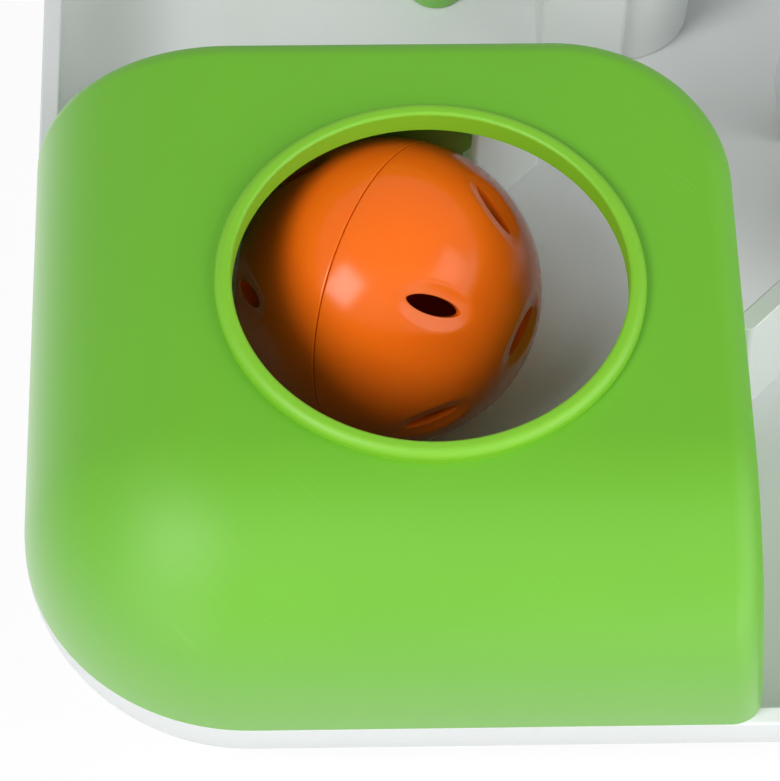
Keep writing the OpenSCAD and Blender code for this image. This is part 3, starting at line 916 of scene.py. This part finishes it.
class FEEDER_OT_ball(Operator):
    """Model the two slotted halves of the treat ball"""
    bl_idname = "feeder.ball"
    bl_label = "Treat ball"

    def execute(self, context):
        ball = context.scene.feeder_ball
        laid = Matrix.Rotation(math.radians(90) - ball.axis_tilt, 4, "Y")
        turned = Matrix.Rotation(ball.axis_turn, 4, "Z") @ laid
        place = Matrix.Translation(BALL_AT) @ turned
        paint_on = orange_plastic()
        for name, side, ring_turn, body, node in (
            ("ball_socket", 1, ball.socket_turn, "ball_cap", "ball_socket_half"),
            ("ball_spigot", -1, ball.spigot_turn, "ball", "ball_spigot_half"),
        ):
            slots = self.slot_frames(ball, side, ring_turn)
            half = self.half(name, ball, side, slots)
            combine(half, self.slot_tools(ball, slots), "DIFFERENCE")
            if side < 0:
                combine(half, self.spigot(ball), "UNION")
            stand_in(half, place)
            finish_piece(half, paint_on, body, "orange_plastic", node)
        return {"FINISHED"}

    def slot_frames(self, ball, side, ring_turn):
        """Each slot's own frame: Z out of the ball, X along the slot."""
        frames = [Matrix.Rotation(ball.pole_turn, 3, "Z")]
        for i in range(ball.ring_slots):
            round_axis = Matrix.Rotation(ring_turn + math.tau * i / ball.ring_slots, 3, "Z")
            frames.append(round_axis @ Matrix.Rotation(ball.ring_angle, 3, "Y"))
        flip = Matrix.Diagonal((1, 1, side))
        return [flip @ slot_frame for slot_frame in frames]

    def half(self, name, ball, side, slots):
        """One half: a divided cube, blown up to a ball, dished at its slots, cut at the seam, hollowed."""
        radius = ball.diameter / 2
        deselect_all()
        bpy.ops.mesh.primitive_cube_add(size=2)
        half = settle(name)
        with editing(half):
            bpy.ops.mesh.select_all(action="SELECT")
            bpy.ops.mesh.subdivide(number_cuts=95)
        even = math.radians(45)
        for vertex in half.data.vertices:
            spread = Vector([math.tan(c * even) for c in vertex.co])
            out = spread.normalized()
            vertex.co = out * self.skin_radius(out, ball, radius, slots)
        seam = ball.seam if side > 0 else 0.0
        with editing(half):
            bpy.ops.mesh.select_all(action="SELECT")
            bpy.ops.mesh.bisect(plane_co=(0, 0, seam), plane_no=(0, 0, side), clear_inner=True)
            close_up(10 * TOUCH)
        add_modifier(half, "SOLIDIFY", thickness=ball.wall, offset=-1, use_even_offset=True)

        def seam_edge(edge):
            on_seam = all(near(v.co.z, seam) for v in edge.verts)
            outside = all(v.co.length > radius - ball.wall / 2 for v in edge.verts)
            return on_seam and outside and sharp(edge)

        with editing(half):
            round_edges(half, seam_edge, ball.seam_edge, segments=2)
        return half

    def skin_radius(self, out, ball, radius, slots):
        """Distance of the skin from the centre: the ball's, or that of the dish that lies there."""
        skin = radius
        axis_height = radius - ball.dish_depth + ball.dish_radius
        for slot_frame in slots:
            y = out.dot(slot_frame.col[1])
            z = out.dot(slot_frame.col[2])
            if z < DISH_REACH:
                continue
            across = z * z + y * y
            inside = (axis_height * z) ** 2 - across * (axis_height ** 2 - ball.dish_radius ** 2)
            if inside <= 0:
                continue
            dish = (axis_height * z - math.sqrt(inside)) / across
            soft = max(ball.dish_edge - abs(skin - dish), 0) / ball.dish_edge
            skin = min(skin, dish) - soft * soft * ball.dish_edge / 4
        return skin

    def slot_tools(self, ball, slots):
        """Oval cutters, one through the wall at each slot."""
        deselect_all()
        bpy.ops.mesh.primitive_cylinder_add(vertices=48, radius=0.5, depth=4 * ball.wall)
        tool = settle("slot")
        for vertex in tool.data.vertices:
            vertex.co.y *= max(1 - (2 * vertex.co.x) ** 2, 0) ** ball.slot_point
        size = Matrix.Diagonal((ball.slot_length, ball.slot_width, 1, 1))
        out = Matrix.Translation((0, 0, ball.diameter / 2 - ball.wall))
        places = {f"slot_{i}": slot_frame.to_4x4() @ out @ size for i, slot_frame in enumerate(slots)}
        tools = joined("slots", repeated(tool, places))
        with editing(tools):
            face_outwards()
        return tools

    def spigot(self, ball):
        """The ring inside the seam, with the web that joins it to its half."""
        shell = ball.diameter / 2 - ball.wall
        outer = shell - ball.spigot_gap
        inner = outer - ball.spigot_wall
        high = ball.spigot_height
        web = high / 2
        lap = shell + ball.wall / 3
        sunk = 0.2 * MM
        profile = [
            (inner, -high), (outer, -high), (outer, -web), (lap, -web), (lap, -sunk),
            (outer, -sunk), (outer, high), (inner, high), (inner, -high),
        ]
        return lathe("spigot", profile, segments=96)


class FEEDER_OT_tubes(Operator):
    """Model the three tubes, each with one square corner"""
    bl_idname = "feeder.tubes"
    bl_label = "Tubes"

    def execute(self, context):
        plug = context.scene.feeder_plug_ins
        outer = plug.tube_radius
        inner = outer - plug.tube_wall
        soft = plug.tube_wall / 2
        foot = 0.4 * MM
        low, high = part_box(TUBES[0])
        tall = high.z - low.z
        profile = [(inner + foot, 0), (outer - foot, 0), (outer, foot)]
        profile += arc(outer - soft, tall - soft, soft, 0, 180, steps=10)
        profile += [(inner, foot), (inner + foot, 0)]
        tube = lathe("tube", profile, segments=112)
        side = outer + plug.corner_out
        top = tall - plug.tube_wall

        def outward(edge):
            at = edge.verts[0].co
            return upright(edge) and at.x + at.y < -outer / 2

        corner = add_block("corner", (-side, -side, 0), (0, 0, top))
        with editing(corner):
            round_edges(corner, outward, plug.corner_round, segments=5)
            round_edges(corner, sharp_at(top), plug.corner_round, segments=4)
        bore_radius = (inner + outer) / 2
        bore_profile = [(0, -soft), (bore_radius, -soft), (bore_radius, tall), (0, tall)]
        combine(corner, lathe("bore", bore_profile, segments=112), "DIFFERENCE")
        combine(tube, corner, "UNION")
        places = {node + "_body": Matrix.Translation(tube_axis(node, plug)) for node in TUBES}
        for node, tube in zip(TUBES, repeated(tube, places)):
            finish_piece(tube, white_plastic(), node, "white_plastic", node)
        return {"FINISHED"}


class FEEDER_OT_pegs(Operator):
    """Model the six tapered pegs"""
    bl_idname = "feeder.pegs"
    bl_label = "Pegs"

    def execute(self, context):
        plug = context.scene.feeder_plug_ins
        tray = context.scene.feeder_tray
        bore = tray.pin_radius + plug.peg_gap
        bore_top = tray.pin_height + plug.top_gap
        soft = 0.7 * MM
        lead = 0.5 * MM
        low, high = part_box(PEGS[0])
        dome = high.z - low.z - plug.peg_top
        profile = [(0, bore_top), (bore, bore_top), (bore, lead), (bore + lead, 0)]
        profile += arc(plug.peg_foot - soft, soft, soft, -90, 0, steps=4)
        profile += arc(0, dome, plug.peg_top, 4, 90, steps=9)
        peg = lathe("peg", profile, segments=64)
        pegs = repeated(peg, {node + "_body": standing(middle_of(node), low.z) for node in PEGS})
        for node, peg in zip(PEGS, pegs):
            finish_piece(peg, green_plastic(), node, "green_plastic", node)
        return {"FINISHED"}


class FEEDER_OT_walls(Operator):
    """Model the four plug-in walls"""
    bl_idname = "feeder.walls"
    bl_label = "Walls"

    def execute(self, context):
        plug = context.scene.feeder_plug_ins
        tray = context.scene.feeder_tray
        foot = 0.3 * MM
        for node in WALLS:
            low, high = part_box(node)
            tall = high.z - low.z
            half = wall_length(node, plug) / 2
            side = plug.wall / 2
            plate = add_block(node + "_plate", (-half, -side, 0), (half, side, tall))
            with editing(plate):
                round_edges(plate, upright, side, segments=8)
                bpy.ops.mesh.select_all(action="SELECT")
                bpy.ops.mesh.remove_doubles(threshold=10 * TOUCH)
                round_edges(plate, sharp_at(tall), plug.wall_round, segments=4)
                round_edges(plate, sharp_at(0), foot, segments=2)
            groove_end = Vector((
                half - tray.rail_inset + plug.rail_gap,
                tray.rail_wall / 2 + plug.rail_gap,
                tray.rail_height + plug.top_gap,
            ))
            combine(plate, add_block("groove", -groove_end, groove_end), "DIFFERENCE")
            stand_in(plate, wall_frame(node))
            finish_piece(plate, white_plastic(), node, "white_plastic", node)
        return {"FINISHED"}


class FEEDER_OT_stage(Operator):
    """Set the floor, the lights, the room and the camera"""
    bl_idname = "feeder.stage"
    bl_label = "Stage"

    def execute(self, context):
        stage = context.scene.feeder_stage
        self.floor()
        self.room(context.scene, stage)
        for name, (direction, distance, size) in SOFTBOXES.items():
            self.softbox(name + "_softbox", direction, distance, size, getattr(stage, name))
        self.camera(context.scene, stage)
        return {"FINISHED"}

    def floor(self):
        deselect_all()
        bpy.ops.mesh.primitive_plane_add(size=FLOOR_SIZE)
        floor = settle("floor")
        with editing(floor):
            bpy.ops.mesh.select_all(action="SELECT")
            bpy.ops.mesh.subdivide(number_cuts=7)
        material = new_material("studio_floor")
        finish = Finish(material.node_tree)
        seen = self.seen(finish)
        paper = finish.node("ShaderNodeBsdfDiffuse", {}, {"Color": PAPER})
        glow = finish.node("ShaderNodeEmission", {}, {"Color": WHITE, "Strength": 1.0})
        mixed = finish.node("ShaderNodeMixShader", {}, {0: seen * FLOOR_GLOW, 1: paper, 2: glow})
        finish.node("ShaderNodeOutputMaterial", {}, {"Surface": mixed})
        floor.data.materials.append(material)

    def seen(self, finish):
        """1 for what the camera sees straight on, in a gloss or through a clear piece."""
        camera = finish.node("ShaderNodeLightPath", output="Is Camera Ray")
        gloss = finish.node("ShaderNodeLightPath", output="Is Glossy Ray")
        clear = finish.node("ShaderNodeLightPath", output="Is Transmission Ray")
        return camera.maths("MAXIMUM", camera, camera.maths("MAXIMUM", gloss, clear))

    def room(self, scene, stage):
        world = bpy.data.worlds.new("studio")
        world.use_nodes = True
        scene.world = world
        finish = Finish(world.node_tree)
        dim = {"Color": ROOM_TINT, "Strength": stage.world_light}
        soft = finish.node("ShaderNodeBackground", {}, dim)
        white = finish.node("ShaderNodeBackground", {}, {"Color": WHITE, "Strength": 1.0})
        mixed = finish.node("ShaderNodeMixShader", {}, {0: self.seen(finish), 1: soft, 2: white})
        finish.node("ShaderNodeOutputWorld", {}, {"Surface": mixed})

    def softbox(self, name, direction, distance, size, watts):
        """A lamp that faces the ball."""
        lamp = bpy.data.lights.new(name, "AREA")
        lamp.shape = "RECTANGLE"
        lamp.size, lamp.size_y = size
        lamp.energy = watts
        box = bpy.data.objects.new(name, lamp)
        bpy.context.scene.collection.objects.link(box)
        towards = Vector(direction).normalized()
        box.location = BALL_AT + towards * distance
        box.rotation_euler = towards.to_track_quat("Z", "Y").to_euler()

    def camera(self, scene, stage):
        lens = bpy.data.cameras.new("camera")
        lens.lens = stage.camera_lens
        lens.sensor_width = FILM_WIDTH
        lens.sensor_fit = "HORIZONTAL"
        camera = bpy.data.objects.new("camera", lens)
        scene.collection.objects.link(camera)
        ahead = Vector(stage.camera_aim) - Vector(stage.camera_at)
        camera.location = stage.camera_at
        level = ahead.to_track_quat("-Z", "Y")
        camera.rotation_euler = (level @ Quaternion((0, 0, 1), stage.camera_roll)).to_euler()
        scene.camera = camera
        scene.view_settings.view_transform = "Standard"


OPERATORS = (
    FEEDER_OT_tray, FEEDER_OT_feet, FEEDER_OT_hood, FEEDER_OT_collar, FEEDER_OT_ball,
    FEEDER_OT_tubes, FEEDER_OT_pegs, FEEDER_OT_walls, FEEDER_OT_stage,
)


class FEEDER_PT_sidebar(Panel):
    """Lists the feeder's sizes, finishes and operators"""
    bl_idname = "FEEDER_PT_sidebar"
    bl_label = "Cat puzzle feeder"
    bl_space_type = "VIEW_3D"
    bl_region_type = "UI"
    bl_category = "Feeder"

    def draw(self, context):
        for operator in OPERATORS:
            self.layout.operator(operator.bl_idname)
        for name, group in GROUPS.items():
            box = self.layout.box()
            for key in group.__annotations__:
                box.prop(getattr(context.scene, name), key)


GROUPS = {
    "feeder_tray": FeederTray,
    "feeder_hood": FeederHood,
    "feeder_ball": FeederBall,
    "feeder_plug_ins": FeederPlugIns,
    "feeder_finish": FeederFinish,
    "feeder_stage": FeederStage,
}


def register():
    for group in GROUPS.values():
        bpy.utils.register_class(group)
    for name, group in GROUPS.items():
        setattr(bpy.types.Scene, name, PointerProperty(type=group))
    for operator in OPERATORS:
        bpy.utils.register_class(operator)
    bpy.utils.register_class(FEEDER_PT_sidebar)


def unregister():
    bpy.utils.unregister_class(FEEDER_PT_sidebar)
    for operator in reversed(OPERATORS):
        bpy.utils.unregister_class(operator)
    for name in GROUPS:
        delattr(bpy.types.Scene, name)
    for group in reversed(GROUPS.values()):
        bpy.utils.unregister_class(group)


def main():
    register()
    bpy.ops.feeder.tray()
    bpy.ops.feeder.feet()
    bpy.ops.feeder.hood()
    bpy.ops.feeder.collar()
    bpy.ops.feeder.ball()
    bpy.ops.feeder.tubes()
    bpy.ops.feeder.pegs()
    bpy.ops.feeder.walls()
    bpy.ops.feeder.stage()


if __name__ == "__main__":
    main()
